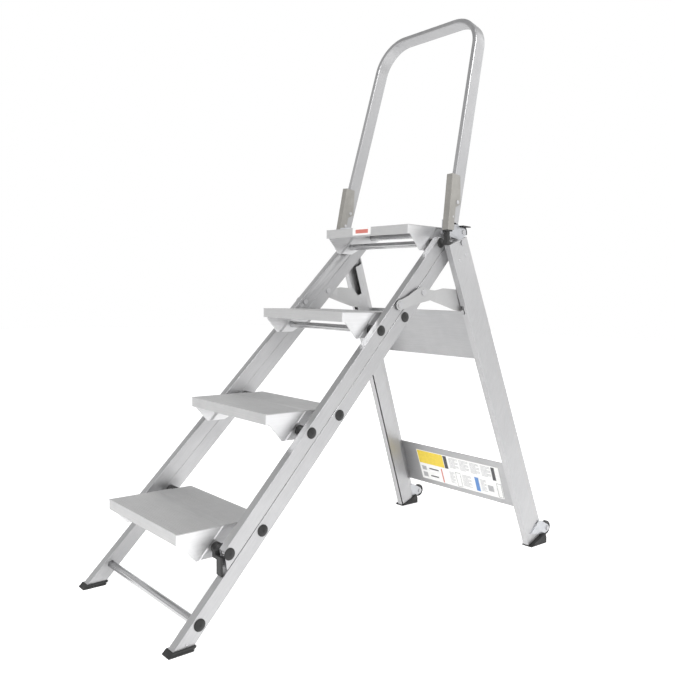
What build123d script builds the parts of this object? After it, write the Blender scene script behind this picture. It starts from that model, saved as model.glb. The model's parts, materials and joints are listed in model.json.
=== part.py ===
from build123d import *
import os
from math import asin, atan, cos, degrees, radians, sin

# Folding platform step ladder: three treads and a platform between two pairs of side
# rails, a pair of rear legs that fold in from behind, two brace arms and a hooped handrail.
# Frame: +Z up, the user climbs towards +Y, +X is the user's right-hand side.
# The origin lies on the floor, in the middle of the footprint.

# ---- Driving dimensions, in millimetres and degrees ----
STEP_RISE = 235.0
TREAD_COUNT = 4
INCLINE = 46.33
FIRST_PIVOT_Z = 215.5
FRONT_FOOT_TO_PIVOT = 231.7
FOOTPRINT_DEPTH = 1280.7

RAIL_WIDTH = 21.2
RAIL_DEPTH = 35.0
RAIL_WALL = 1.8
RAIL_GAP = 0.8
RAIL_OUTER_X = 221.9
RAIL_TAPER_PER_RISE = 8.12
FRONT_RAIL_INSET = 0.8
FRONT_RAIL_FOOT_DROP = 30.0

TUBE_RADIUS = 9.0
TUBE_WALL = 1.5
RUNNING_FIT = 0.05
LINK_FORWARD = 86.0
LINK_DOWN = 34.0
STRETCHER_BELOW_PIVOT = 230.0

CAP_RADIUS = 13.5
CAP_HEIGHT = 4.0
BUSH_RADIUS = 12.5
END_GAP = 0.3

TREAD_HALF_WIDTH = 169.7
TREAD_TOP = 11.7
TREAD_SKIN = 2.0
TREAD_FRONT = 183.3
TREAD_REAR = 41.0
LIP_BOTTOM = -13.3
CHEEK_THICKNESS = 3.0
CHEEK_JOG = 3.0
CHEEK_BOTTOM = -55.6

LEG_LEAN = 21.42
LEG_SPLAY_PER_LENGTH = 0.0487
LEG_OUTER_X = 226.4
LEG_FRONT = 91.1
LEG_DEPTH = 75.5
LEG_STRIP = 18.0
LEG_BACK_FLAT = 8.0
LEG_INNER = 18.9
LEG_WALL = 2.0
LEG_TOP = 8.0
LEG_END = 951.0
LEG_SLOT = 6.0
LEG_OPEN_HEAD = 75.0
LEG_NOTCH_END = 165.0
LEG_HINGE_BELOW = 42.2

PANEL_SPANS = ((231.0, 381.0), (731.0, 884.0))
PANEL_SKIN = 2.0

HANDRAIL_LEAN = 76.5
HANDRAIL_FRONT = 91.4
HANDRAIL_DEPTH = 40.0
HANDRAIL_WIDTH = 15.1
HANDRAIL_CENTRE_X = 220.8
HANDRAIL_TAPER = 0.05
HANDRAIL_TOP = 621.0
HANDRAIL_BOTTOM = 5.5
HANDRAIL_BEND = 100.0
HANDRAIL_WALL = 1.6
BRACKET_WALL = 2.6

WHEEL_RADIUS = 21.0
WHEEL_WIDTH = 11.0
AXLE_RADIUS = 4.0

PIN_RADIUS = 5.0
COLLAR_RADIUS = 8.0
PIN_HEAD_RADIUS = 8.5
RIVET_SHANK_RADIUS = 3.0
BRACE_X = 209.2
BRACE_THICKNESS = 2.5
BRACE_JOG = 3.0

# ---- Positions that follow from them: (y, z) pairs in the side plane ----
LOWEST_Y = -FOOTPRINT_DEPTH / 2
ALONG = (cos(radians(INCLINE)), sin(radians(INCLINE)))
ACROSS = (-ALONG[1], ALONG[0])
PITCH = STEP_RISE / ALONG[1]
FIRST_PIVOT = (LOWEST_Y + FRONT_FOOT_TO_PIVOT, FIRST_PIVOT_Z)
RAIL_TAPER = RAIL_TAPER_PER_RISE / PITCH
RAIL_TILT = atan(RAIL_TAPER)
FRONT_RAIL_OFFSET = RAIL_DEPTH + RAIL_GAP
TOP_T = PITCH * (TREAD_COUNT - 1)


def rail_point(t, n=0.0):
    """Side-plane point t along the rear rails from the first pivot and n in front of them."""
    y = FIRST_PIVOT[0] + t * ALONG[0] + n * ACROSS[0]
    z = FIRST_PIVOT[1] + t * ALONG[1] + n * ACROSS[1]
    return (y, z)


def rail_coordinates(point):
    """The (t, n) of a side-plane point."""
    dy = point[0] - FIRST_PIVOT[0]
    dz = point[1] - FIRST_PIVOT[1]
    return (dy * ALONG[0] + dz * ALONG[1], dy * ACROSS[0] + dz * ACROSS[1])


def rail_outer(t):
    """Outer face of the rear rails at t."""
    return RAIL_OUTER_X - RAIL_TAPER * t


REAR_PIVOTS = [rail_point(PITCH * k) for k in range(TREAD_COUNT)]
FRONT_PIVOTS = [(y - LINK_FORWARD, z - LINK_DOWN) for y, z in REAR_PIVOTS]
HEAD = REAR_PIVOTS[-1]
STRETCHER = rail_point(-STRETCHER_BELOW_PIVOT)
LEG_HINGE = rail_point(TOP_T - LEG_HINGE_BELOW)

LEG_DOWN = (sin(radians(LEG_LEAN)), -cos(radians(LEG_LEAN)))
LEG_FORWARD = (-cos(radians(LEG_LEAN)), -sin(radians(LEG_LEAN)))
LEG_REAR = LEG_FRONT - LEG_DEPTH
LEG_SPLAY = atan(LEG_SPLAY_PER_LENGTH)
HAND_UP = (cos(radians(HANDRAIL_LEAN)), sin(radians(HANDRAIL_LEAN)))
HAND_FORWARD = (-HAND_UP[1], HAND_UP[0])

BRACE_ROOT = (HEAD[0] - 161.2, HEAD[1] - 169.6)
BRACE_TIP = (BRACE_ROOT[0] - LINK_FORWARD, BRACE_ROOT[1] - LINK_DOWN)
BRACE_TAIL = (HEAD[0] + 2.0, HEAD[1] - 203.0)
WHEEL_CENTRE = (LOWEST_Y + FOOTPRINT_DEPTH - WHEEL_RADIUS, 39.5)
WHEEL_X = 265.9

os.makedirs("parts", exist_ok=True)
parts_made = {}


def keep(name, shape):
    """Record a finished sub-part under its node name."""
    parts_made[name] = shape
    return shape


def keep_pair(name, right):
    """Record a right-hand sub-part and its mirror image."""
    keep(name + "_right", right)
    keep(name + "_left", mirror(right, about=Plane.YZ))


def both_sides(shapes):
    """The shapes and their mirror images, as one group of separate solids."""
    flat = list(shapes)
    return Compound(flat + [mirror(s, about=Plane.YZ) for s in flat])


def about(origin, points):
    """Side-plane points given relative to an origin."""
    return [(origin[0] + y, origin[1] + z) for y, z in points]


def prism(points, x0, x1):
    """A side-plane outline carried from x0 to x1."""
    face = make_face(Polyline(*points, close=True))
    return extrude(Plane.YZ.offset(x0) * face, amount=x1 - x0)


def rod(point, x0, x1, radius):
    """A solid cylinder across the ladder."""
    return Pos((x0 + x1) / 2, *point) * Rot(0, 90, 0) * Cylinder(radius, x1 - x0)


def pipe(point, x0, x1, radius, wall):
    """A tube across the ladder."""
    return rod(point, x0, x1, radius) - rod(point, x0, x1, radius - wall)


def stepped_pin(point, steps):
    """A turned pin: (x0, x1, radius) lengths on one axis, joined into one solid."""
    pin = rod(point, *steps[0])
    for step in steps[1:]:
        pin = pin + rod(point, *step)
    return pin


def dome(plane, radius, height, plug_radius=0.0, plug_length=0.0):
    """A domed head standing on the plane, with an optional plug behind it."""
    rim = height * 0.35
    rise = height - rim
    sphere = (radius * radius + rise * rise) / (2 * rise)
    half_angle = asin(radius / sphere) / 2
    middle = (sphere * sin(half_angle), height - sphere * (1 - cos(half_angle)))
    crown = ThreePointArc((radius, rim), middle, (0, height))
    profile = make_face([crown, Line((0, height), (0, 0)), Line((0, 0), (radius, 0)),
                         Line((radius, 0), (radius, rim))])
    head = revolve(Plane.XZ * profile, Axis.Z)
    if plug_length:
        head = head + Pos(0, 0, -plug_length / 2) * Cylinder(plug_radius, plug_length)
    return plane * head


# ---- Rails and cross tubes ----
def rail_plane(t, n, x_from_outer=0.0, inset=0.0):
    """Plane on a right rail: its z runs up the rail and its x points outwards."""
    lean = (-sin(RAIL_TILT), ALONG[0] * cos(RAIL_TILT), ALONG[1] * cos(RAIL_TILT))
    out = (cos(RAIL_TILT), ALONG[0] * sin(RAIL_TILT), ALONG[1] * sin(RAIL_TILT))
    y, z = rail_point(t, n)
    return Plane(origin=(rail_outer(t) - inset - x_from_outer, y, z), x_dir=out, z_dir=lean)


def rail_face(t, n, inset=0.0):
    """Plane lying on a right rail's outer face, with its normal pointing outwards."""
    bar = rail_plane(t, n, 0.0, inset)
    return Plane(origin=bar.origin, x_dir=bar.y_dir, z_dir=bar.x_dir)


def rail_bar(t0, t1, n, inset=0.0, wall=0.0):
    """A straight right-hand rail, or with a wall thickness the space inside it."""
    plane = rail_plane((t0 + t1) / 2, n, RAIL_WIDTH / 2, inset)
    bar = Box(RAIL_WIDTH - 2 * wall, RAIL_DEPTH - 2 * wall, t1 - t0)
    return plane * bar


RAIL_CUT = (150.0, 260.0)
END_RING = 3.0
END_PLUG_PROUD = 1.0
FRONT_RAIL_HEAD = 9.0
FRONT_RAIL_TOE = 11.5
FRONT_RAIL_TOE_SLOPE = 22.5


def cross_holes(points, radius):
    """Cylinders that cut the right-hand rails at the given points."""
    return [rod(point, *RAIL_CUT, radius) for point in points]


FOOT_SEAT = 6.0
FOOT_HEIGHT = 10.5
FOOT_LIP = 4.0
FOOT_GROOVE = 0.9
FOOT_RIVET_ABOVE = 24.0


def rear_rail():
    """Right rear rail: it carries the hinges and stands on the floor."""
    low = -PITCH
    bar = rail_bar(low, TOP_T + RAIL_DEPTH / 2, 0.0)
    bar = bar - rail_bar(low - 1, TOP_T + RAIL_DEPTH, 0.0, wall=RAIL_WALL)
    floor_cut = Pos(0, FIRST_PIVOT[0], FOOT_SEAT - 100) * Box(900, 900, 200)
    end_arc = rail_end_round(RAIL_DEPTH / 2 - END_RING, 2 * RAIL_DEPTH)
    bar = bar - floor_cut - end_arc
    for hole in cross_holes(REAR_PIVOTS + [STRETCHER], TUBE_RADIUS):
        bar = bar - hole
    for hole in cross_holes([BRACE_ROOT, LEG_HINGE], PIN_RADIUS):
        bar = bar - hole
    return bar


def rail_end_round(inner, outer):
    """Half ring round the head pivot, on the far side of it from the rail."""
    ring = rod(HEAD, 100, 300, outer) - rod(HEAD, 90, 310, inner)
    keep_side = rail_plane(TOP_T + 100, 0.0) * Box(400, 400, 200)
    return ring & keep_side


def rail_end_plug():
    """Black plug that closes the rounded top end of the right rear rail."""
    band = rail_end_round(RAIL_DEPTH / 2 - END_RING, RAIL_DEPTH / 2 + END_PLUG_PROUD)
    sides = rail_plane(TOP_T, 0.0, RAIL_WIDTH / 2) * Box(RAIL_WIDTH, RAIL_DEPTH, 4 * RAIL_DEPTH)
    return band & sides


def front_rail():
    """Right front rail: it joins the treads' front pivots and slides along the rear rail."""
    n = FRONT_RAIL_OFFSET
    low = -LINK_FORWARD - 2 * FRONT_RAIL_FOOT_DROP
    high = rail_coordinates(FRONT_PIVOTS[-1])[0] + FRONT_RAIL_HEAD
    bar = rail_bar(low, high, n, FRONT_RAIL_INSET)
    bar = bar - rail_bar(low - 1, high + 1, n, FRONT_RAIL_INSET, RAIL_WALL)
    toe_y = FRONT_PIVOTS[0][0] - FRONT_RAIL_TOE + 15.0
    toe = [(toe_y - 215, FIRST_PIVOT_Z - 120), (toe_y, FIRST_PIVOT_Z - 120),
           (toe_y - FRONT_RAIL_TOE_SLOPE, FIRST_PIVOT_Z + 12), (toe_y - 215, FIRST_PIVOT_Z + 12)]
    bar = bar - prism(toe, *RAIL_CUT)
    for hole in cross_holes(FRONT_PIVOTS, TUBE_RADIUS):
        bar = bar - hole
    return bar - rod(BRACE_TIP, *RAIL_CUT, PIN_RADIUS + RUNNING_FIT)


def cross_tube(point, inset=0.0):
    """A tube from one rail's outer face to the other's."""
    t = rail_coordinates(point)[0]
    half = rail_outer(t) - inset - END_GAP
    return pipe(point, -half, half, TUBE_RADIUS, TUBE_WALL)


def rail_cap(point, inset=0.0):
    """Black domed cap pressed into the end of a cross tube on the right."""
    t, n = rail_coordinates(point)
    return dome(rail_face(t, n, inset), CAP_RADIUS, CAP_HEIGHT, TUBE_RADIUS - TUBE_WALL - 0.4, 9.0)


def front_foot():
    """Rubber boot on the foot of the right rear rail."""
    rear = LOWEST_Y + 56.3
    t_floor = -FIRST_PIVOT_Z / ALONG[1]
    x1 = rail_outer(t_floor) + FOOT_LIP
    x0 = x1 - RAIL_WIDTH - 2 * FOOT_LIP
    outline = [(LOWEST_Y, 0), (rear, 0), (rear + 3.0, 3.6), (rear + 1.2, 4.6), (rear + 1.6, 5.4),
               (rear + 5.2, 6.4), (rear + 7.4, FOOT_HEIGHT), (LOWEST_Y + 9.0, FOOT_HEIGHT), (LOWEST_Y, 2.4)]
    boot = prism(outline, x0, x1)
    groove = [(LOWEST_Y - 1, 4.2), (rear + 20, 4.2), (rear + 20, 5.6), (LOWEST_Y - 1, 5.6)]
    boot = boot - prism(groove, x1 - FOOT_GROOVE, x1 + 1) - prism(groove, x0 - 1, x0 + FOOT_GROOVE)
    seat = rail_bar(t_floor - 40, t_floor + 80, 0.0)
    seat = seat & (Pos(0, LOWEST_Y, FOOT_SEAT + 100) * Box(900, 400, 200))
    return boot - seat


keep_pair("rear_rail", rear_rail())
keep_pair("front_rail", front_rail())
keep_pair("front_foot", front_foot())
keep("lower_stretcher", cross_tube(STRETCHER))
for number, (rear, front) in enumerate(zip(REAR_PIVOTS, FRONT_PIVOTS), start=1):
    keep(f"rear_tube_{number}", cross_tube(rear))
    keep(f"front_tube_{number}", cross_tube(front, FRONT_RAIL_INSET))
rear_cap_points = REAR_PIVOTS[:-1] + [STRETCHER]
keep("rear_caps", both_sides([rail_cap(p) for p in rear_cap_points] + [rail_end_plug()]))
keep("front_caps", both_sides([rail_cap(p, FRONT_RAIL_INSET) for p in FRONT_PIVOTS]))

# ---- Hinge pins and rivets of the rear frame ----
PLATE_X = 203.1
PLATE_THICKNESS = 2.5
SIDE_PLAY = 0.25
HINGE_HEAD_RADIUS = 7.0


def leg_outer(length):
    """Outer face of the right rear leg at a length down the leg from the head pivot's level."""
    return LEG_OUTER_X + LEG_SPLAY_PER_LENGTH * length


def pin_inner_x(point):
    """Inside face of the right rear rail at a pin, clear of its tilt."""
    return rail_outer(rail_coordinates(point)[0]) - RAIL_WIDTH - 0.5


def collar_x(point):
    """Where a collar can start outside the right rear rail, clear of its tilt."""
    return rail_outer(rail_coordinates(point)[0]) + 0.4


def handrail_pin():
    """Pin of the handrail's hinge, at the top of the right rear rail."""
    plate_end = PLATE_X + PLATE_THICKNESS
    start = collar_x(HEAD)
    return stepped_pin(HEAD, [(start, PLATE_X - SIDE_PLAY, 10.0),
                              (start, plate_end + SIDE_PLAY, PIN_RADIUS),
                              (plate_end + SIDE_PLAY, plate_end + SIDE_PLAY + 1.6, 5.8)])


def leg_pin():
    """Pin of the right rear leg's hinge, with its spacer and large head."""
    wall_out = leg_outer(LEG_TOP + 14) + 0.8
    wall_in = wall_out - LEG_WALL - 1.6
    inner = pin_inner_x(LEG_HINGE)
    return stepped_pin(LEG_HINGE, [(inner, wall_out, PIN_RADIUS),
                                   (inner - 2.5, inner, COLLAR_RADIUS),
                                   (collar_x(LEG_HINGE), wall_in, COLLAR_RADIUS),
                                   (wall_out, wall_out + 3.0, HINGE_HEAD_RADIUS)])


def brace_pin():
    """Pin of the right brace arm's hinge on the rear rail."""
    outer = BRACE_X + BRACE_THICKNESS + SIDE_PLAY
    inner = pin_inner_x(BRACE_ROOT)
    return stepped_pin(BRACE_ROOT, [(inner, outer, PIN_RADIUS),
                                    (inner - 2.0, inner, COLLAR_RADIUS),
                                    (collar_x(BRACE_ROOT), BRACE_X - SIDE_PLAY, COLLAR_RADIUS),
                                    (outer, outer + 1.8, PIN_HEAD_RADIUS)])


def foot_rivet():
    """Small rivet that holds the boot's insert at the foot of the right rear rail."""
    t = -FIRST_PIVOT_Z / ALONG[1] + FOOT_RIVET_ABOVE
    return dome(rail_face(t, -2.0), 3.6, 1.6).moved(Location((RAIL_TAPER * 5.0, 0, 0)))


keep("frame_pins", both_sides([handrail_pin(), leg_pin(), brace_pin(), foot_rivet()]))


# ---- Treads and platform ----
CREASE_LOW = (-122.0, -55.0)
CREASE_HIGH = (-66.0, 8.0)
JOG_LENGTH = 6.0
LIP_RETURN = 8.0
LIP_SKIN = 2.6
RIB_POSITIONS = (-140.0, -60.0, 30.0)
RIB_DROP = 7.0
GROOVE_DEPTH = 0.7
GROOVE_WIDTH = 2.2
GROOVE_PITCH = 5.6


def deck(pivot):
    """Tread skin with its front lip, rear turn-down, ribs below and grooves on top."""
    under = TREAD_TOP - TREAD_SKIN
    front = -TREAD_FRONT
    outline = [(front, TREAD_TOP), (front, LIP_BOTTOM), (front + LIP_RETURN, LIP_BOTTOM),
               (front + LIP_RETURN, LIP_BOTTOM + LIP_SKIN), (front + LIP_SKIN, LIP_BOTTOM + LIP_SKIN),
               (front + LIP_SKIN, under), (TREAD_REAR - LIP_SKIN, under),
               (TREAD_REAR - LIP_SKIN, -2), (TREAD_REAR, -2), (TREAD_REAR, TREAD_TOP)]
    skin = prism(about(pivot, outline), -TREAD_HALF_WIDTH, TREAD_HALF_WIDTH)
    inside = TREAD_HALF_WIDTH - CHEEK_THICKNESS - CHEEK_JOG - 0.2
    for y in RIB_POSITIONS:
        rib = [(y - 1, under), (y - 1, under - RIB_DROP), (y + 1, under - RIB_DROP), (y + 1, under)]
        skin = skin + prism(about(pivot, rib), -inside, inside)
    corner = prism(about(pivot, [(TREAD_REAR - 9, under), (TREAD_REAR - 9, -9),
                                 (TREAD_REAR + 1, -9), (TREAD_REAR + 1, under)]), inside, 200)
    notch_x = TREAD_HALF_WIDTH - CHEEK_JOG
    notch = prism(about(pivot, [(-16, -9), (-16, 20), (60, 20), (60, -9)]), notch_x, 200)
    lip_end = prism(about(pivot, [(front - 1, under), (front - 1, LIP_BOTTOM - 1),
                                  (front + LIP_RETURN + 1, LIP_BOTTOM - 1), (front + LIP_RETURN + 1, under)]),
                    TREAD_HALF_WIDTH - CHEEK_THICKNESS, 200)
    right_cuts = corner + notch + lip_end
    skin = skin - right_cuts - mirror(right_cuts, about=Plane.YZ)
    groove_face = Rectangle(GROOVE_WIDTH, GROOVE_DEPTH, align=(Align.CENTER, Align.MAX))
    rows = [Pos(pivot[0] + y, pivot[1] + TREAD_TOP) * groove_face for y in groove_rows()]
    cuts = extrude(Plane.YZ.offset(-TREAD_HALF_WIDTH) * Sketch(rows), amount=2 * TREAD_HALF_WIDTH)
    return skin - cuts


def groove_rows():
    """Positions of the grip grooves: a field in front of the plain band and one behind it."""
    rows = []
    y = -TREAD_FRONT + 7.0
    while y < TREAD_REAR - 5.0:
        if not -70.0 < y < -56.0:
            rows.append(y)
        y += GROOVE_PITCH
    return rows


def cheek(pivot):
    """Right side plate under a tread: jogged inwards behind the crease, drilled for both tubes."""
    top = TREAD_TOP - TREAD_SKIN
    outer = TREAD_HALF_WIDTH
    front = -TREAD_FRONT
    rear = TREAD_REAR - LIP_SKIN - 0.4
    outline = [(front, top), (front, LIP_BOTTOM), (front + LIP_RETURN, LIP_BOTTOM), (-136.5, CHEEK_BOTTOM),
               (-84.0, CHEEK_BOTTOM), (-66.0, -46.0), (-16.0, -17.0), (14.0, -17.0), (rear, -2.0), (rear, top)]
    blank = prism(about(pivot, outline), outer - 20, outer + 5)
    dy = CREASE_HIGH[0] - CREASE_LOW[0]
    dz = CREASE_HIGH[1] - CREASE_LOW[1]
    size = (dy * dy + dz * dz) ** 0.5
    bend = Plane(origin=(outer, pivot[0] + CREASE_LOW[0], pivot[1] + CREASE_LOW[1]),
                 x_dir=(0, dz / size, -dy / size), z_dir=(0, dy / size, dz / size))
    inward = -1.0 if bend.y_dir.X > 0 else 1.0
    thick = CHEEK_THICKNESS
    jog = CHEEK_JOG
    section = [(-200, 0), (-JOG_LENGTH, 0), (0, jog), (300, jog), (300, jog + thick), (0, jog + thick),
               (-JOG_LENGTH, thick), (-200, thick)]
    face = make_face(Polyline(*[(s, inward * d) for s, d in section], close=True))
    sheet = bend * (Pos(0, 0, -150) * extrude(face, amount=400))
    plate = blank & sheet
    bore = TUBE_RADIUS + RUNNING_FIT
    for point in (pivot, (pivot[0] - LINK_FORWARD, pivot[1] - LINK_DOWN)):
        plate = plate - rod(point, 100, 260, bore)
    return plate


def bush(point, inset=0.0):
    """Black spacer on a cross tube, between the right cheek and the rail."""
    t = rail_coordinates(point)[0]
    start = TREAD_HALF_WIDTH - CHEEK_JOG
    end = rail_outer(t) - inset - RAIL_WIDTH - RAIL_TAPER * BUSH_RADIUS - END_GAP
    sleeve = rod(point, start, end, BUSH_RADIUS)
    return sleeve - rod(point, start - 1, end + 1, TUBE_RADIUS + RUNNING_FIT)


LATCH_DRUM = (187.5, 200.0)
LATCH_TAB = (204.5, 221.5)
LATCH_RADIUS = 14.0


def tread(name, rear, front, latched):
    """All the pieces of one tread; the latched one leaves room on its front tube for the latch."""
    keep(name + "_deck", deck(rear))
    keep_pair(name + "_cheek", cheek(rear))
    right = [bush(rear), bush(front, FRONT_RAIL_INSET)]
    left = [mirror(b, about=Plane.YZ) for b in right]
    if latched:
        gap = rod(front, LATCH_DRUM[0] - END_GAP, 260, 2 * BUSH_RADIUS)
        right[1] = right[1] - gap
    keep(name + "_bushes", Compound(right + left))


TREAD_NAMES = ("step_1", "step_2", "step_3", "platform")
for name, rear, front in zip(TREAD_NAMES, REAR_PIVOTS, FRONT_PIVOTS):
    tread(name, rear, front, latched=(name == "step_1"))


# ---- Storage latch on the lowest front tube ----
def storage_latch():
    """Black collar on the tube with a flat tab that hangs in front of the rail's end."""
    x0, x1 = LATCH_DRUM
    centre = FRONT_PIVOTS[0]
    body = rod(centre, x0, x1, LATCH_RADIUS)
    arm = prism(about(centre, [(-21, 4), (-21, -12), (-8, -14), (-6, 6)]), x0, x1)
    bridge = prism(about(centre, [(-21, -4), (-21, -12), (-15.8, -12), (-15.8, -4)]), x1 - 1, LATCH_TAB[1])
    tab = prism(about(centre, [(-21, -4), (-20, -44), (-17, -47), (-14.5, -44), (-15.8, -4)]), *LATCH_TAB)
    whole = body + arm + bridge + tab
    return whole - rod(centre, 100, 260, TUBE_RADIUS + RUNNING_FIT)


keep("storage_latch", storage_latch())


# ---- Brace arms ----
def brace_arm():
    """Right brace arm: a plate pinned to both rails, jogged outwards to its tail beside the leg."""
    outline = [(-257, -200), (-249, -191), (-238, -187), (-218, -179), (-199, -168), (-178, -157.5),
               (-160, -155.5), (-143, -162), (-116, -163.5), (-88, -157), (-33, -159), (-2, -190),
               (2, -216), (-16, -219), (-39, -216), (-134, -190), (-170, -197), (-205, -205),
               (-244, -217), (-257, -210)]
    x0 = BRACE_X
    x1 = BRACE_X + BRACE_THICKNESS
    blank = prism(about(HEAD, outline), x0, x1 + BRACE_JOG)
    for centre, radius in ((BRACE_ROOT, 14.0), (BRACE_TIP, 13.5), (BRACE_TAIL, 13.0)):
        blank = blank + rod(centre, x0, x1 + BRACE_JOG, radius)
    y0 = HEAD[0] - 118.0
    y1 = HEAD[0] - 98.0
    section = [(x0, y0 - 200), (x1, y0 - 200), (x1, y0), (x1 + BRACE_JOG, y1), (x1 + BRACE_JOG, y1 + 200),
               (x0 + BRACE_JOG, y1 + 200), (x0 + BRACE_JOG, y1), (x0, y0)]
    face = make_face(Polyline(*section, close=True))
    plate = blank & (Pos(0, 0, HEAD[1] - 300) * extrude(face, amount=300))
    bore = rod(BRACE_ROOT, 150, 260, PIN_RADIUS + RUNNING_FIT)
    return plate - bore - rod(BRACE_TIP, 150, 260, PIN_RADIUS) - rod(BRACE_TAIL, 150, 260, PIN_RADIUS)


def brace_tip_pin():
    """Pin on the right brace arm that turns in the front rail."""
    t = rail_coordinates(BRACE_TIP)[0]
    rail_x = rail_outer(t) - FRONT_RAIL_INSET
    inner = rail_x - RAIL_WIDTH - 0.6
    outer = BRACE_X + BRACE_THICKNESS
    return stepped_pin(BRACE_TIP, [(inner - 2.0, inner, COLLAR_RADIUS),
                                   (inner, outer, PIN_RADIUS),
                                   (rail_x + 0.6, BRACE_X, COLLAR_RADIUS),
                                   (outer, outer + 2.0, PIN_HEAD_RADIUS)])


def brace_tail_pin():
    """Slide stud on the tail of the right brace arm."""
    x0 = BRACE_X + BRACE_JOG
    x1 = x0 + BRACE_THICKNESS
    return stepped_pin(BRACE_TAIL, [(x0 - 0.5, x0, 9.5), (x0, x1, PIN_RADIUS), (x1, x1 + 0.8, COLLAR_RADIUS)])


keep_pair("brace_arm", brace_arm())
keep_pair("brace_studs", Compound([brace_tip_pin(), brace_tail_pin()]))


# ---- Rear legs, panels, feet and wheels ----
def leg_point(length, ahead):
    """Side-plane point a length down the leg and a distance ahead of the line through the head pivot."""
    y = HEAD[0] + length * LEG_DOWN[0] + ahead * LEG_FORWARD[0]
    z = HEAD[1] + length * LEG_DOWN[1] + ahead * LEG_FORWARD[1]
    return (y, z)


def leg_plane(length, ahead):
    """Plane on the right leg's outer face: x points outwards, y forwards, z down the leg."""
    down = (sin(LEG_SPLAY), LEG_DOWN[0] * cos(LEG_SPLAY), LEG_DOWN[1] * cos(LEG_SPLAY))
    out = (cos(LEG_SPLAY), -LEG_DOWN[0] * sin(LEG_SPLAY), -LEG_DOWN[1] * sin(LEG_SPLAY))
    return Plane(origin=(leg_outer(length), *leg_point(length, ahead)), x_dir=out, z_dir=down)


LEG_Y_SIGN = 1.0 if leg_plane(0, 0).y_dir.Y < 0 else -1.0


def leg_box(a0, a1, b0, b1, length0, length1):
    """Block in the leg's own axes: a outwards, b ahead of its rear face."""
    plane = leg_plane(0, LEG_REAR)
    centre = ((a0 + a1) / 2, LEG_Y_SIGN * (b0 + b1) / 2, (length0 + length1) / 2)
    return plane * Pos(*centre) * Box(a1 - a0, b1 - b0, length1 - length0)


def rear_leg():
    """Right rear leg: a folded channel with a front strip, an inner wall and a cut-back corner."""
    w = LEG_WALL
    d = LEG_DEPTH
    section = [(0, 0), (0, d), (-LEG_STRIP, d), (-LEG_STRIP, d - w), (-w, d - w), (-w, w),
               (-LEG_BACK_FLAT + 0.8, w), (-LEG_INNER + w, 24), (-LEG_INNER + w, d - LEG_SLOT),
               (-LEG_INNER, d - LEG_SLOT), (-LEG_INNER, 23), (-LEG_BACK_FLAT, 0)]
    face = make_face(Polyline(*[(a, LEG_Y_SIGN * b) for a, b in section], close=True))
    plane = leg_plane(0, LEG_REAR)
    leg = plane * (Pos(0, 0, LEG_TOP) * extrude(face, amount=LEG_END - LEG_TOP))
    leg = leg - leg_box(-LEG_INNER - 5, -LEG_BACK_FLAT - 0.5, w + 0.5, d - w - 0.5, 0, LEG_OPEN_HEAD)
    leg = leg - leg_box(-LEG_INNER - 5, -LEG_BACK_FLAT - 0.5, -5, w + 5, 0, LEG_OPEN_HEAD)
    leg = leg - leg_box(-LEG_INNER - 5, -LEG_INNER + w + 0.5, 40, d - 3, LEG_OPEN_HEAD - 1, LEG_NOTCH_END)
    leg = leg - leg_box(-LEG_STRIP - 1, -LEG_STRIP + 9, d - w - 1, d + 1, 184, 208)
    return leg - rod(LEG_HINGE, 200, 260, PIN_RADIUS + RUNNING_FIT)


def leg_envelope():
    """The right leg's outline filled in, to cut what is fitted round it."""
    d = LEG_DEPTH
    section = [(0, 0), (0, d), (-LEG_INNER, d), (-LEG_INNER, 23), (-LEG_BACK_FLAT, 0)]
    face = make_face(Polyline(*[(a, LEG_Y_SIGN * b) for a, b in section], close=True))
    return leg_plane(0, LEG_REAR) * (Pos(0, 0, LEG_TOP) * extrude(face, amount=LEG_END - LEG_TOP))


def leg_panel(span):
    """Flat sheet panel across the backs of both legs."""
    plane = Plane(origin=(0, *leg_point(0, LEG_REAR)), x_dir=(1, 0, 0), z_dir=(0, *LEG_FORWARD))
    down = -1.0 if plane.y_dir.Z > 0 else 1.0
    top, bottom = span
    half_top = leg_outer(top) - 3.0
    half_bottom = leg_outer(bottom) - 3.0
    outline = [(-half_top, down * top), (half_top, down * top),
               (half_bottom, down * bottom), (-half_bottom, down * bottom)]
    sheet = plane * extrude(make_face(Polyline(*outline, close=True)), amount=-PANEL_SKIN)
    return sheet


def face_rivet(length, ahead):
    """Domed rivet on the right leg's outer face."""
    plane = leg_plane(length, ahead)
    face = Plane(origin=plane.origin, x_dir=plane.y_dir, z_dir=plane.x_dir)
    return dome(face, 5.0, 2.2)


def panel_rivet(length):
    """Domed rivet on the back of a panel, over the right leg."""
    plane = leg_plane(length, LEG_REAR - PANEL_SKIN)
    origin = plane.origin - plane.x_dir * 5.5
    back = Plane(origin=origin, x_dir=plane.x_dir, z_dir=plane.y_dir * -LEG_Y_SIGN)
    return dome(back, 4.0, 1.8)


FORK_OUTER_X = 275.2
FORK_INNER_X = (256.6, 259.6)
AXLE_HEAD_RADIUS = 7.0
WHEEL_HUB_RADIUS = 7.5
WHEEL_RIM = 5.0
WHEEL_DISH = 1.8
WHEEL_CHAMFER = 1.5


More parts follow.
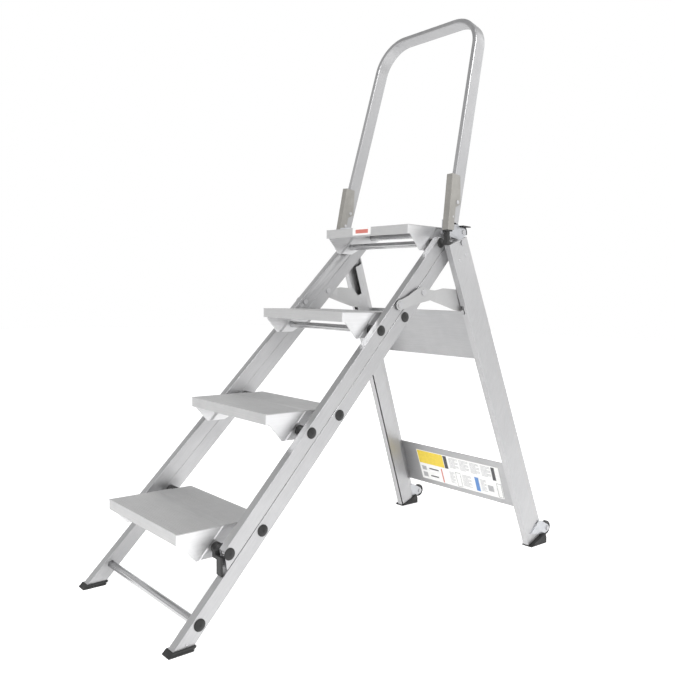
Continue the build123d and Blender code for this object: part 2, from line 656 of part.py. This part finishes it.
def wheel_fork():
    """Right wheel bracket: a plate each side of the wheel, joined across the back of the leg."""
    outline = about(WHEEL_CENTRE, [(-86, -3), (-45, 30), (-28, 26), (4, 9), (9, 0), (4, -9), (-18, -15)])
    outer = prism(outline, 268.0, FORK_OUTER_X)
    inner = prism(outline, *FORK_INNER_X) & leg_box(-40, 40, -60, 15, 880, 1000)
    outer = outer - leg_box(-60, 0, -80, 100, 800, 1000)
    clear = rod(WHEEL_CENTRE, FORK_INNER_X[1], WHEEL_X + WHEEL_WIDTH / 2 + 0.6, WHEEL_RADIUS + 40)
    web = prism(about(WHEEL_CENTRE, [(-60, -6), (-60, 25), (-15, 25), (-15, -6)]), FORK_INNER_X[0], FORK_OUTER_X)
    web = web & leg_box(-40, 40, -2, 0, 880, LEG_END)
    fork = (outer - clear) + inner + web
    return fork - leg_envelope() - rod(WHEEL_CENTRE, 240, 290, AXLE_RADIUS)


def wheel_axle():
    """Right wheel axle with a head outside each fork plate."""
    x0 = FORK_INNER_X[0]
    return stepped_pin(WHEEL_CENTRE, [(x0 - 2, x0, AXLE_HEAD_RADIUS), (x0, FORK_OUTER_X, AXLE_RADIUS),
                                      (FORK_OUTER_X, FORK_OUTER_X + 2.5, AXLE_HEAD_RADIUS)])


def wheel():
    """Right wheel: a rimmed roller with a hub that runs on the axle."""
    half = WHEEL_WIDTH / 2
    disc = rod(WHEEL_CENTRE, WHEEL_X - half, WHEEL_X + half, WHEEL_RADIUS)
    disc = chamfer(disc.edges().filter_by(GeomType.CIRCLE), WHEEL_CHAMFER)
    for x in (WHEEL_X - half, WHEEL_X + half):
        dish = rod(WHEEL_CENTRE, x - WHEEL_DISH, x + WHEEL_DISH, WHEEL_RADIUS - WHEEL_RIM)
        disc = disc - (dish - rod(WHEEL_CENTRE, x - 5, x + 5, WHEEL_HUB_RADIUS))
    return disc - rod(WHEEL_CENTRE, 240, 290, AXLE_RADIUS + RUNNING_FIT)


def rear_foot(leg, fork):
    """Right rear foot: a rubber wedge under the leg's end with a plug inside it."""
    front = leg_point(LEG_END, LEG_FRONT)
    back = leg_point(LEG_END, LEG_REAR)
    outline = [(front[0] - 2.2, 0), (back[0] + 5.0, 0), (back[0] + 5.0, back[1] / 2), back, front]
    wedge = prism(outline, 250.6, 284.6)
    plug = leg_box(-16, -2.3, 26, LEG_DEPTH - 6, LEG_END - 14, LEG_END + 1)
    return (wedge + plug) - leg - fork


leg_right = rear_leg()
fork_right = wheel_fork()
keep_pair("rear_leg", leg_right)
keep("upper_panel", leg_panel(PANEL_SPANS[0]))
keep("lower_panel", leg_panel(PANEL_SPANS[1]))
keep_pair("wheel_fork", fork_right)
keep_pair("rear_foot", rear_foot(leg_right, fork_right))
keep_pair("wheel", wheel())
keep("wheel_axles", both_sides([wheel_axle()]))
leg_rivets = [face_rivet(53.3, 35.8), face_rivet(60.1, 65.5)]
leg_rivets += [panel_rivet(length) for span in PANEL_SPANS for length in (span[0] + 20, span[1] - 20)]
keep("leg_rivets", both_sides(leg_rivets))


# ---- Handrail ----
HAND_CENTRE = HANDRAIL_FRONT - HANDRAIL_DEPTH / 2
HAND_PLANE = Plane(origin=(0, HEAD[0] + HAND_CENTRE * HAND_FORWARD[0], HEAD[1] + HAND_CENTRE * HAND_FORWARD[1]),
                   x_dir=(1, 0, 0), z_dir=(0, *HAND_FORWARD))


def hoop(inset):
    """Outline of the hoop in its own plane, drawn in by an inset on every side."""
    half = HANDRAIL_WIDTH / 2 - inset
    drop = 1.0 if inset == 0 else 0.0
    lines = []
    for side in (half, -half):
        low = HANDRAIL_BOTTOM - 1 + drop
        top = HANDRAIL_TOP - HANDRAIL_WIDTH / 2 + side
        x_low = HANDRAIL_CENTRE_X + side - HANDRAIL_TAPER * low
        x_top = HANDRAIL_CENTRE_X + side - HANDRAIL_TAPER * top
        radius = HANDRAIL_BEND - HANDRAIL_WIDTH / 2 + side
        lines.append(FilletPolyline((-x_low, low), (-x_top, top), (x_top, top), (x_low, low), radius=radius))
    outer, inner = lines
    closing = [Line(outer @ 0, inner @ 0), Line(outer @ 1, inner @ 1)]
    return make_face(outer.edges() + inner.edges() + closing)


def handrail_tube():
    """One flat-oval tube bent into a hoop, with rounded long edges and open lower ends."""
    solid = extrude(hoop(0.0), amount=HANDRAIL_DEPTH / 2, both=True)
    long_edges = solid.faces().sort_by(Axis.Z)[0].edges() + solid.faces().sort_by(Axis.Z)[-1].edges()
    solid = fillet([e for e in long_edges if e.length > HANDRAIL_WIDTH + 1], 3.0)
    inside = extrude(hoop(HANDRAIL_WALL), amount=HANDRAIL_DEPTH / 2 - HANDRAIL_WALL, both=True)
    return HAND_PLANE * (solid - inside)


TAPER_ANGLE = degrees(atan(HANDRAIL_TAPER))
TAPER_AXIS = Axis((HANDRAIL_CENTRE_X, *HEAD), (0, HAND_FORWARD[0], HAND_FORWARD[1]))


def lean_in(shape):
    """Tilt a piece built upright at the handrail's foot so that it follows the hoop's taper."""
    return shape.rotate(TAPER_AXIS, TAPER_ANGLE)


BRACKET_HALF = HANDRAIL_WIDTH / 2 + BRACKET_WALL
RIVET_POINT = (HEAD[0] - 55.0, HEAD[1] + 76.0)
LOWER_RIVET_POINT = (HEAD[0] - 73.0, HEAD[1] + 36.0)


def handrail_bracket():
    """Right channel that holds the handrail's foot: two webs joined by a front flange."""
    outline = about(HEAD, [(-96.5, 0), (-74, 153), (-42.5, 149), (-42.5, 72), (-63, 62), (-69, 27), (-71, 0)])
    solid = prism(outline, HANDRAIL_CENTRE_X - BRACKET_HALF, HANDRAIL_CENTRE_X + BRACKET_HALF)
    slope = (-74 + 96.5) / 153.0
    back = BRACKET_WALL
    space = about(HEAD, [(-96.5 + back - slope * 10, -10), (-74 + back + slope * 10, 163), (60, 163), (60, -10)])
    half = HANDRAIL_WIDTH / 2
    solid = solid - prism(space, HANDRAIL_CENTRE_X - half, HANDRAIL_CENTRE_X + half)
    return solid


def handrail_rivet(point, head):
    """Rivet through the right bracket and the handrail; with no head height it ends flush outside."""
    x0 = HANDRAIL_CENTRE_X - BRACKET_HALF
    x1 = HANDRAIL_CENTRE_X + BRACKET_HALF
    steps = [(x0 - 1.5, x0, 5.0), (x0, x1, RIVET_SHANK_RADIUS)]
    if head:
        steps.append((x1, x1 + head, 5.5))
    return stepped_pin(point, steps)


LEVER_POINT = (HEAD[0] - 34.0, HEAD[1] + 16.0)
LEVER_GAP = 0.3
LEVER_THICKNESS = 1.9
LEVER_STUD_RADIUS = 3.0
LEVER_TAB_X = 217.0
LEVER_HOOK_RADIUS = 19.0
LEVER_HOOK_WIDTH = 5.0
PLATE_EYE_RADIUS = 12.0


def pivot_plate(bracket):
    """Right hinge plate: jogged outwards to the bracket, with the lever's stud on it."""
    outline = [(-94, -9), (-94, 28), (-63, 31), (-48, 31), (-25, 24), (-16, 12.5), (0, 12), (6, -11),
               (-4, -18), (-14.5, -22), (-61, -14), (-72, -12)]
    blank = prism(about(HEAD, outline), 195, 215) + rod(HEAD, 195, 215, PLATE_EYE_RADIUS)
    x0 = PLATE_X
    x1 = PLATE_X + PLATE_THICKNESS
    shift = HANDRAIL_CENTRE_X - BRACKET_HALF - x1
    y0 = HEAD[0] - 57.0
    section = [(x0, y0 + 200), (x1, y0 + 200), (x1, y0), (x1 + shift, y0 - 10), (x1 + shift, y0 - 100),
               (x0 + shift, y0 - 100), (x0 + shift, y0 - 10), (x0, y0)]
    sheet = Pos(0, 0, HEAD[1] - 100) * extrude(make_face(Polyline(*section, close=True)), amount=200)
    plate = (blank & sheet) - bracket
    for y, z in ((-52.0, 16.0), (-48.0, 6.0)):
        plate = plate - rod((HEAD[0] + y, HEAD[1] + z), 190, 220, 1.6)
    tip = x0 - LEVER_GAP - LEVER_THICKNESS
    stud = rod(LEVER_POINT, tip, x0 + 1, LEVER_STUD_RADIUS)
    return plate - rod(HEAD, 190, 230, PIN_RADIUS + RUNNING_FIT) + stud


def release_lever():
    """Black lever inboard of the right hinge plate, with a finger tab to the rear and a hook round the eye."""
    x1 = PLATE_X - LEVER_GAP
    x0 = x1 - LEVER_THICKNESS
    blade = prism(about(LEVER_POINT, [(0, 2.4), (50, 0.9), (50, -2.2), (0, -2.6)]), x0, x1)
    tab = prism(about(LEVER_POINT, [(19, 1.8), (50, 0.9), (51.5, -0.6), (50, -2.2), (19, -2.2)]), x0, LEVER_TAB_X)
    hub = rod(LEVER_POINT, x0, x1, 5.5)
    hook = rod(HEAD, x0, x1, LEVER_HOOK_RADIUS) - rod(HEAD, x0 - 1, x1 + 1, LEVER_HOOK_RADIUS - LEVER_HOOK_WIDTH)
    hook = hook & prism(about(HEAD, [(7, 15.5), (30, 15.5), (30, -6), (12, -6)]), x0, x1)
    return (blade + tab + hub + hook) - rod(LEVER_POINT, 190, 230, LEVER_STUD_RADIUS + RUNNING_FIT)


def bumper(bracket):
    """Right rubber stop under the bracket; it rests on the top of the leg."""
    pieces = [([(-96, 0), (-96, -4), (-76, -4), (-76, 0)], 212.0, 230.5),
              ([(-92.5, -4), (-92.5, -33), (-83, -33), (-83, -4)], 214.5, 227.5),
              ([(-92.5, -30), (-92.5, -40.1), (-82.2, -40.1), (-73, -36.4), (-73, -33), (-83, -30)], 213.5, 228.0)]
    whole = prism(about(HEAD, pieces[0][0]), pieces[0][1], pieces[0][2])
    for outline, x0, x1 in pieces[1:]:
        whole = whole + prism(about(HEAD, outline), x0, x1)
    return whole - bracket


tube = handrail_tube()
bracket_right = lean_in(handrail_bracket())
rivets_right = [lean_in(handrail_rivet(RIVET_POINT, 1.8)), lean_in(handrail_rivet(LOWER_RIVET_POINT, 0.0))]
for rivet in rivets_right:
    shank = rivet & lean_in(rod((HEAD[0] - 60, HEAD[1] + 60), HANDRAIL_CENTRE_X - BRACKET_HALF,
                                HANDRAIL_CENTRE_X + BRACKET_HALF, 90))
    tube = tube - shank - mirror(shank, about=Plane.YZ)
    bracket_right = bracket_right - shank
keep("handrail_tube", tube)
keep_pair("handrail_bracket", bracket_right)
keep_pair("pivot_plate", pivot_plate(bracket_right))
keep("handrail_rivets", both_sides(rivets_right))
keep("bumpers", both_sides([bumper(bracket_right)]))
keep_pair("release_lever", release_lever())

for name, shape in parts_made.items():
    export_step(shape, f"parts/{name}.step")
print(len(parts_made), "sub-parts written")
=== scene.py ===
import json
import math

import bmesh
import bpy
from mathutils import Matrix, Vector


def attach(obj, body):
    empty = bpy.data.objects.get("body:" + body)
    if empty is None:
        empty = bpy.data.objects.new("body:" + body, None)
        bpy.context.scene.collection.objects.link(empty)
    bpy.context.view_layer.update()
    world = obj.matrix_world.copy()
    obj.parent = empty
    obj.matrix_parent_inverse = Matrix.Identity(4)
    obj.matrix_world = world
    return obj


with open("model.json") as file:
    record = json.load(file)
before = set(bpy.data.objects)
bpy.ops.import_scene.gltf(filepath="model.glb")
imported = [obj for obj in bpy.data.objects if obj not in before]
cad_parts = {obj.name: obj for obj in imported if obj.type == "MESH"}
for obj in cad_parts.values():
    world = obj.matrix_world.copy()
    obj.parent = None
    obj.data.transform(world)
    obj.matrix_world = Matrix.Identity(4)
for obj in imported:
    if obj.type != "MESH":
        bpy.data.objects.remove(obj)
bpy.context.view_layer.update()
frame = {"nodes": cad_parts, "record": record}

MM = 0.001
NODES = frame["nodes"]
SLOT_OF_NODE = {row["node"]: row["material_slot"] for row in frame["record"]["subparts"]}
INCLINE = math.radians(46.33)
LEG_LEAN = math.radians(21.42)
LEG_GRAIN = -LEG_LEAN - math.pi / 2
HANDRAIL_LEAN = math.radians(76.5)

# Light: levels and spans of the surrounding sky, the floor's glow, and lamps as (name, place, size, watts).
OVERHEAD_LEVEL = 0.58
OVERHEAD_SPAN = (0.42, 0.62)
FLAG_LEVEL = 0.66
FLAG_SPAN = (0.66, 0.96)
FLAG_TOWARDS = (-0.74, -0.60, 0.30)
FLOOR_GLOW = 0.50
FLOOR_HALF = 12.0
LIGHT_TARGET = (0.0, 0.0, 0.75)
LAMPS = (
    ("key", (1.7, -1.0, 3.2), 1.1, 70.0),
    ("side", (3.0, -0.8, 1.6), 2.0, 14.0),
    ("fill", (-2.6, -2.4, 2.2), 2.4, 6.0),
    ("back", (1.2, 3.0, 2.4), 2.4, 15.0),
)

# Camera, in metres and degrees.
CAMERA_PLACE = (1.54034, -1.34025, 0.73857)
CAMERA_YAW, CAMERA_PITCH, CAMERA_ROLL = 49.37, 2.3, 1.31
CAMERA_LENS, CAMERA_SENSOR = 39.29, 36.0
CAMERA_SHIFT = (0.00225, -0.0190)

# Label and sticker, in millimetres.
LEG_TOP = (264.36, 920.5)
PANEL_FACE = 15.6
LABEL_LEFT, LABEL_TOP = -193.0, 753.0
LABEL_WIDTH, LABEL_DEPTH = 346.0, 113.0
LIP_FACE, STICKER_BOTTOM = 81.1, 911.0
FILM = (0.01, 0.20)
INK = (0.21, 0.26)
PRINT_PITCH, PRINT_HEIGHT = 4.4, 1.8

# Softened edges by material slot, in millimetres, and the angles that count as flat or sharp.
BROAD_EDGES = {"rail_aluminium": 0.8, "leg_aluminium": 0.7, "handrail_aluminium": 0.8, "bracket_steel": 0.8}
FINE_EDGE = 0.5
FLAT_ANGLE = math.radians(0.2)
SHARP_ANGLE = math.radians(24)
GRAIN_DEPTH = 0.00012


# ---- Small helpers ----
def link(obj):
    bpy.context.scene.collection.objects.link(obj)
    return obj


def new_object(name, mesh_builder, material):
    """A mesh piece whose geometry comes from a bmesh function."""
    bm = bmesh.new()
    mesh_builder(bm)
    bmesh.ops.recalc_face_normals(bm, faces=bm.faces)
    mesh = bpy.data.meshes.new(name)
    bm.to_mesh(mesh)
    bm.free()
    mesh.materials.append(material)
    return link(bpy.data.objects.new(name, mesh))


class Graph:
    """A short way to write a material's node graph."""

    def __init__(self, name):
        self.material = bpy.data.materials.new(name)
        self.material.use_nodes = True
        self.tree = self.material.node_tree
        self.shader = self.tree.nodes["Principled BSDF"]

    def add(self, kind, **settings):
        node = self.tree.nodes.new(kind)
        for key, value in settings.items():
            setattr(node, key, value)
        return node

    def join(self, source, target):
        self.tree.links.new(source, target)

    def coordinates(self, tilt=0.0, scale=(1.0, 1.0, 1.0)):
        """Object coordinates turned in the side plane, so that Y runs along the piece."""
        place = self.add("ShaderNodeTexCoord")
        turn = self.add("ShaderNodeMapping", vector_type="POINT")
        turn.inputs["Rotation"].default_value = (-tilt, 0.0, 0.0)
        stretch = self.add("ShaderNodeMapping", vector_type="POINT")
        stretch.inputs["Scale"].default_value = scale
        self.join(place.outputs["Object"], turn.inputs["Vector"])
        self.join(turn.outputs["Vector"], stretch.inputs["Vector"])
        return stretch.outputs["Vector"]

    def noise(self, vector, scale, detail=4.0, roughness=0.55):
        node = self.add("ShaderNodeTexNoise")
        node.inputs["Scale"].default_value = scale
        node.inputs["Detail"].default_value = detail
        node.inputs["Roughness"].default_value = roughness
        self.join(vector, node.inputs["Vector"])
        return node.outputs["Fac"]

    def spread(self, value, low, high, start=0.3, end=0.7):
        """Map a texture value to a range."""
        node = self.add("ShaderNodeMapRange")
        node.inputs["From Min"].default_value = start
        node.inputs["From Max"].default_value = end
        node.inputs["To Min"].default_value = low
        node.inputs["To Max"].default_value = high
        self.join(value, node.inputs["Value"])
        return node.outputs["Result"]

    def tint(self, value, dark, light):
        """Mix two colours by a texture value."""
        node = self.add("ShaderNodeMix", data_type="RGBA")
        node.inputs["A"].default_value = (*dark, 1.0)
        node.inputs["B"].default_value = (*light, 1.0)
        self.join(value, node.inputs["Factor"])
        return node.outputs["Result"]

    def bump(self, height, strength, distance, after=None):
        node = self.add("ShaderNodeBump")
        node.inputs["Strength"].default_value = strength
        node.inputs["Distance"].default_value = distance
        self.join(height, node.inputs["Height"])
        if after is not None:
            self.join(after, node.inputs["Normal"])
        return node.outputs["Normal"]

    def rounded(self, radius):
        """Normals as if every edge had this radius in metres, so that corners catch the light."""
        node = self.add("ShaderNodeBevel", samples=6)
        node.inputs["Radius"].default_value = radius
        return node.outputs["Normal"]


# ---- Materials ----
def aluminium(name, base, roughness, tilt, along, grain=0.12, corner=0.8):
    """Drawn or rolled aluminium: fine lines along the piece, faint clouding and rounded edges that catch the
    light.
    """
    g = Graph(name)
    scale = [900.0, 900.0, 900.0]
    scale["XYZ".index(along)] = 14.0
    lines = g.noise(g.coordinates(tilt, scale), 1.0, 5.0, 0.6)
    cloud = g.noise(g.coordinates(tilt), 9.0, 4.0)
    smear = g.noise(g.coordinates(tilt, (1.0, 0.35, 1.0)), 42.0, 5.0)
    dark = tuple(c * (1.0 - grain) for c in base)
    light = tuple(min(1.0, c * (1.0 + grain * 0.55)) for c in base)
    streaked = g.tint(g.spread(lines, 0.0, 1.0, 0.25, 0.75), dark, light)
    clouded = g.add("ShaderNodeMix", data_type="RGBA", blend_type="MULTIPLY")
    clouded.inputs["Factor"].default_value = 1.0
    g.join(streaked, clouded.inputs["A"])
    g.join(g.tint(g.spread(cloud, 0.0, 1.0), (0.95, 0.95, 0.955), (1.0, 1.0, 1.0)), clouded.inputs["B"])
    g.join(clouded.outputs["Result"], g.shader.inputs["Base Color"])
    rough = g.add("ShaderNodeMath", operation="ADD")
    g.join(g.spread(smear, roughness - 0.05, roughness + 0.06), rough.inputs[0])
    g.join(g.spread(lines, -0.03, 0.03), rough.inputs[1])
    g.join(rough.outputs[0], g.shader.inputs["Roughness"])
    g.join(g.bump(lines, 0.8 * grain, GRAIN_DEPTH, g.rounded(corner * MM)), g.shader.inputs["Normal"])
    g.shader.inputs["Metallic"].default_value = 0.9
    return g.material


def plated(name, base, roughness, corner=0.5):
    """Zinc-plated or plain rolled steel: a mottled, slightly warm or cool grey."""
    g = Graph(name)
    spangle = g.noise(g.coordinates(), 260.0, 3.0)
    cloud = g.noise(g.coordinates(), 30.0, 4.0)
    dark = tuple(c * 0.90 for c in base)
    light = tuple(min(1.0, c * 1.06) for c in base)
    g.join(g.tint(g.spread(cloud, 0.0, 1.0), dark, light), g.shader.inputs["Base Color"])
    g.join(g.spread(spangle, roughness - 0.06, roughness + 0.08), g.shader.inputs["Roughness"])
    g.join(g.bump(spangle, 0.12, 0.0001, g.rounded(corner * MM)), g.shader.inputs["Normal"])
    g.shader.inputs["Metallic"].default_value = 0.9
    return g.material


def moulded(name, base, roughness, grain_scale, bump):
    """Moulded plastic or rubber: a fine leathery grain and patchy dust."""
    g = Graph(name)
    grain = g.noise(g.coordinates(), grain_scale, 3.0)
    dust = g.noise(g.coordinates(), 35.0, 5.0)
    dark = tuple(c * 0.75 for c in base)
    light = tuple(c * 1.5 + 0.004 for c in base)
    g.join(g.tint(g.spread(dust, 0.0, 1.0, 0.35, 0.8), dark, light), g.shader.inputs["Base Color"])
    g.join(g.spread(grain, roughness - 0.08, roughness + 0.10), g.shader.inputs["Roughness"])
    g.join(g.bump(grain, bump, 0.0002), g.shader.inputs["Normal"])
    g.shader.inputs["Specular IOR Level"].default_value = 0.4
    return g.material


MATERIALS = {
    "rail_aluminium": aluminium("rail_metal", (0.47, 0.47, 0.475), 0.38, INCLINE, "Y", 0.12, 2.2),
    "tube_aluminium": aluminium("tube_metal", (0.50, 0.50, 0.505), 0.20, 0.0, "X", 0.03),
    "tread_aluminium": aluminium("tread_metal", (0.57, 0.57, 0.57), 0.50, 0.0, "X"),
    "cheek_aluminium": aluminium("cheek_metal", (0.76, 0.76, 0.765), 0.42, 0.0, "Y", 0.08),
    "leg_aluminium": aluminium("leg_metal", (0.50, 0.50, 0.505), 0.42, LEG_GRAIN, "Y", 0.12, 1.5),
    "panel_aluminium": aluminium("panel_metal", (0.44, 0.44, 0.445), 0.42, 0.0, "X"),
    "plate_aluminium": aluminium("plate_metal", (0.49, 0.49, 0.49), 0.42, 0.4, "Y", 0.06),
    "handrail_aluminium": aluminium("handrail_metal", (0.43, 0.43, 0.435), 0.38, HANDRAIL_LEAN, "Y", 0.05),
    "bracket_steel": plated("bracket_metal", (0.34, 0.33, 0.31), 0.45, 1.4),
    "plate_steel": plated("plate_zinc", (0.50, 0.51, 0.53), 0.38),
    "fastener_steel": plated("fastener_zinc", (0.50, 0.50, 0.51), 0.40),
    "black_plastic": moulded("black_plastic", (0.012, 0.012, 0.012), 0.38, 700.0, 0.15),
    "wheel_plastic": moulded("wheel_plastic", (0.028, 0.028, 0.029), 0.26, 600.0, 0.10),
    "black_rubber": moulded("black_rubber", (0.02, 0.02, 0.02), 0.62, 450.0, 0.3),
}


def finish_cad_nodes():
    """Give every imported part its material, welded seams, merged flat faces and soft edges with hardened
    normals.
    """
    for name, obj in NODES.items():
        obj.data.materials.clear()
        obj.data.materials.append(MATERIALS[SLOT_OF_NODE[name]])
        weld = obj.modifiers.new("weld", "WELD")
        weld.merge_threshold = 1e-6
        flat = obj.modifiers.new("flat_faces", "DECIMATE")
        flat.decimate_type = "DISSOLVE"
        flat.angle_limit = FLAT_ANGLE
        bevel = obj.modifiers.new("soft_edges", "BEVEL")
        bevel.width = BROAD_EDGES.get(SLOT_OF_NODE[name], FINE_EDGE) * MM
        bevel.segments = 2
        bevel.limit_method = "ANGLE"
        bevel.angle_limit = SHARP_ANGLE
        bevel.loop_slide = False
        bevel.harden_normals = True


finish_cad_nodes()


# ---- Label and sticker ----
def printed(name, colour, roughness=0.42):
    """Printed film: a faintly uneven ink with a soft sheen."""
    g = Graph(name)
    blotch = g.noise(g.coordinates(), 120.0, 4.0)
    dark = tuple(c * 0.93 for c in colour)
    light = tuple(min(1.0, c * 1.04) for c in colour)
    g.join(g.tint(g.spread(blotch, 0.0, 1.0), dark, light), g.shader.inputs["Base Color"])
    g.join(g.spread(blotch, roughness - 0.04, roughness + 0.06), g.shader.inputs["Roughness"])
    return g.material


def on_panel(across, down, lift):
    """A point of the lower panel's front face: across from the label's left end, down from its top."""
    along = LABEL_TOP + down
    ahead = PANEL_FACE + lift
    y = LEG_TOP[0] + along * math.sin(LEG_LEAN) - ahead * math.cos(LEG_LEAN)
    z = LEG_TOP[1] - along * math.cos(LEG_LEAN) - ahead * math.sin(LEG_LEAN)
    return Vector((LABEL_LEFT + across, y, z)) * MM


def on_lip(across, up, lift):
    """A point of the platform's front lip."""
    return Vector((across, LIP_FACE - lift, STICKER_BOTTOM + up)) * MM


def film(name, place, patches, heights, material, body):
    """Thin patches (left, right, low, high) standing from one height over a face to another."""
    base, top = heights

    def build(bm):
        for left, right, low, high in patches:
            corners = ((left, low), (right, low), (right, high), (left, high))
            under = [bm.verts.new(place(a, b, base)) for a, b in corners]
            over = [bm.verts.new(place(a, b, top)) for a, b in corners]
            bm.faces.new(under)
            bm.faces.new(over)
            for i in range(4):
                j = (i + 1) % 4
                bm.faces.new((under[i], under[j], over[j], over[i]))
    obj = new_object(name, build, material)
    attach(obj, body)


def outline(left, right, low, high, width=1.2):
    """The four strips of a drawn rectangle."""
    return [(left, right, low, low + width), (left, right, high - width, high),
            (left, left + width, low + width, high - width), (right - width, right, low + width, high - width)]


def rows(left, right, low, high):
    """Plain bars that stand for lines of small print, every third one shorter."""
    bars = []
    for i in range(int((high - low) // PRINT_PITCH)):
        short = 0.35 * (right - left) if i % 3 == 2 else 0.0
        start = low + i * PRINT_PITCH
        bars.append((left, right - short, start, start + PRINT_HEIGHT))
    return bars


def panel_label():
    """A wide care label, with plain blocks and bars only."""
    yellow = [(2, 116, 2, 51)]
    dark = [(118, 133, 3, 51), (316, 329, 4, 51), (42, 84, 66, 71), (42, 78, 94, 99)]
    dark += outline(160, 180, 57, 110) + outline(326, 344, 60, 110)
    grey = [(9, 29, 62, 78), (9, 29, 86, 104), (289, 311, 74, 96)]
    for left in (142, 186, 230, 274):
        grey += rows(left, left + 38, 6, 50)
    for left, right in ((133, 154), (187, 224), (262, 284)):
        grey += rows(left, right, 60, 108)
    blue = [(239, 255, 56, 107)]
    red = [(96, 101, 58, 111)]
    film("label_base", on_panel, [(0, LABEL_WIDTH, 0, LABEL_DEPTH)], FILM,
         printed("label_white", (0.86, 0.86, 0.85)), "rear_legs")
    inks = (("label_yellow", yellow, (0.80, 0.60, 0.06)), ("label_dark", dark, (0.06, 0.06, 0.065)),
            ("label_grey", grey, (0.42, 0.42, 0.43)), ("label_blue", blue, (0.10, 0.24, 0.55)),
            ("label_red", red, (0.60, 0.14, 0.10)))
    for name, patches, colour in inks:
        film(name, on_panel, patches, INK, printed(name + "_ink", colour), "rear_legs")


def lip_sticker():
    """A small sticker on the platform's front lip."""
    film("sticker_base", on_lip, [(-51.6, 24.0, 0.0, 21.0)], FILM,
         printed("sticker_white", (0.80, 0.80, 0.79)), "platform")
    film("sticker_red", on_lip, [(-39.0, 13.0, 5.0, 16.0)], INK,
         printed("sticker_red_ink", (0.55, 0.16, 0.13)), "platform")


panel_label()
lip_sticker()


# ---- Floor, light and camera ----
def plain(name, colour, roughness):
    g = Graph(name)
    g.shader.inputs["Base Color"].default_value = (*colour, 1.0)
    g.shader.inputs["Roughness"].default_value = roughness
    return g.material


def air():
    """Soft surrounding light: a bright sweep around the horizon, dimmer overhead and in front on the left."""
    world = bpy.data.worlds.new("studio_air")
    bpy.context.scene.world = world
    world.use_nodes = True
    tree = world.node_tree

    def add(kind, **settings):
        node = tree.nodes.new(kind)
        for key, value in settings.items():
            setattr(node, key, value)
        return node

    def step(value, start, end, low, high):
        node = add("ShaderNodeMapRange", interpolation_type="SMOOTHSTEP")
        for socket, number in zip(("From Min", "From Max", "To Min", "To Max"), (start, end, low, high)):
            node.inputs[socket].default_value = number
        tree.links.new(value, node.inputs["Value"])
        return node.outputs["Result"]

    def times(first, second):
        node = add("ShaderNodeMath", operation="MULTIPLY")
        tree.links.new(first, node.inputs[0])
        tree.links.new(second, node.inputs[1])
        return node.outputs[0]

    place = add("ShaderNodeTexCoord")
    parts = add("ShaderNodeSeparateXYZ")
    tree.links.new(place.outputs["Generated"], parts.inputs["Vector"])
    towards = add("ShaderNodeVectorMath", operation="DOT_PRODUCT")
    tree.links.new(place.outputs["Generated"], towards.inputs[0])
    towards.inputs[1].default_value = Vector(FLAG_TOWARDS).normalized()
    overhead = step(parts.outputs["Z"], *OVERHEAD_SPAN, 1.0, OVERHEAD_LEVEL)
    flagged = step(towards.outputs["Value"], *FLAG_SPAN, 1.0, FLAG_LEVEL)
    sky = tree.nodes["Background"]
    sky.inputs["Color"].default_value = (1.0, 1.0, 1.0, 1.0)
    tree.links.new(times(overhead, flagged), sky.inputs["Strength"])


def studio():
    """A pale floor and soft lamps."""
    def slab(bm):
        bmesh.ops.create_grid(bm, x_segments=1, y_segments=1, size=FLOOR_HALF)
    surface = plain("floor_white", (0.93, 0.93, 0.93), 0.9)
    glow = surface.node_tree.nodes["Principled BSDF"]
    glow.inputs["Emission Color"].default_value = (1.0, 1.0, 1.0, 1.0)
    glow.inputs["Emission Strength"].default_value = FLOOR_GLOW
    floor = new_object("floor", slab, surface)
    air()
    for name, place, size, power in LAMPS:
        lamp = bpy.data.lights.new(name, "AREA")
        lamp.shape = "SQUARE"
        lamp.size = size
        lamp.energy = power
        obj = link(bpy.data.objects.new(name, lamp))
        obj.location = place
        obj.rotation_euler = (Vector(LIGHT_TARGET) - Vector(place)).to_track_quat("-Z", "Y").to_euler()
    bpy.context.scene.view_settings.view_transform = "Standard"


def camera():
    """The viewing angle: from the front right, a little above the third tread."""
    yaw = math.radians(CAMERA_YAW)
    pitch = math.radians(CAMERA_PITCH)
    roll = math.radians(CAMERA_ROLL)
    ahead = Vector((-math.sin(yaw) * math.cos(pitch), math.cos(yaw) * math.cos(pitch), -math.sin(pitch)))
    right = Vector((math.cos(yaw), math.sin(yaw), 0.0))
    up = right.cross(ahead)
    rolled_right = math.cos(roll) * right + math.sin(roll) * up
    rolled_up = math.cos(roll) * up - math.sin(roll) * right
    data = bpy.data.cameras.new("camera")
    data.sensor_width = CAMERA_SENSOR
    data.lens = CAMERA_LENS
    data.shift_x, data.shift_y = CAMERA_SHIFT
    obj = link(bpy.data.objects.new("camera", data))
    frame_axes = Matrix((rolled_right, rolled_up, -ahead)).transposed().to_4x4()
    obj.matrix_world = Matrix.Translation(CAMERA_PLACE) @ frame_axes
    bpy.context.scene.camera = obj


studio()
camera()
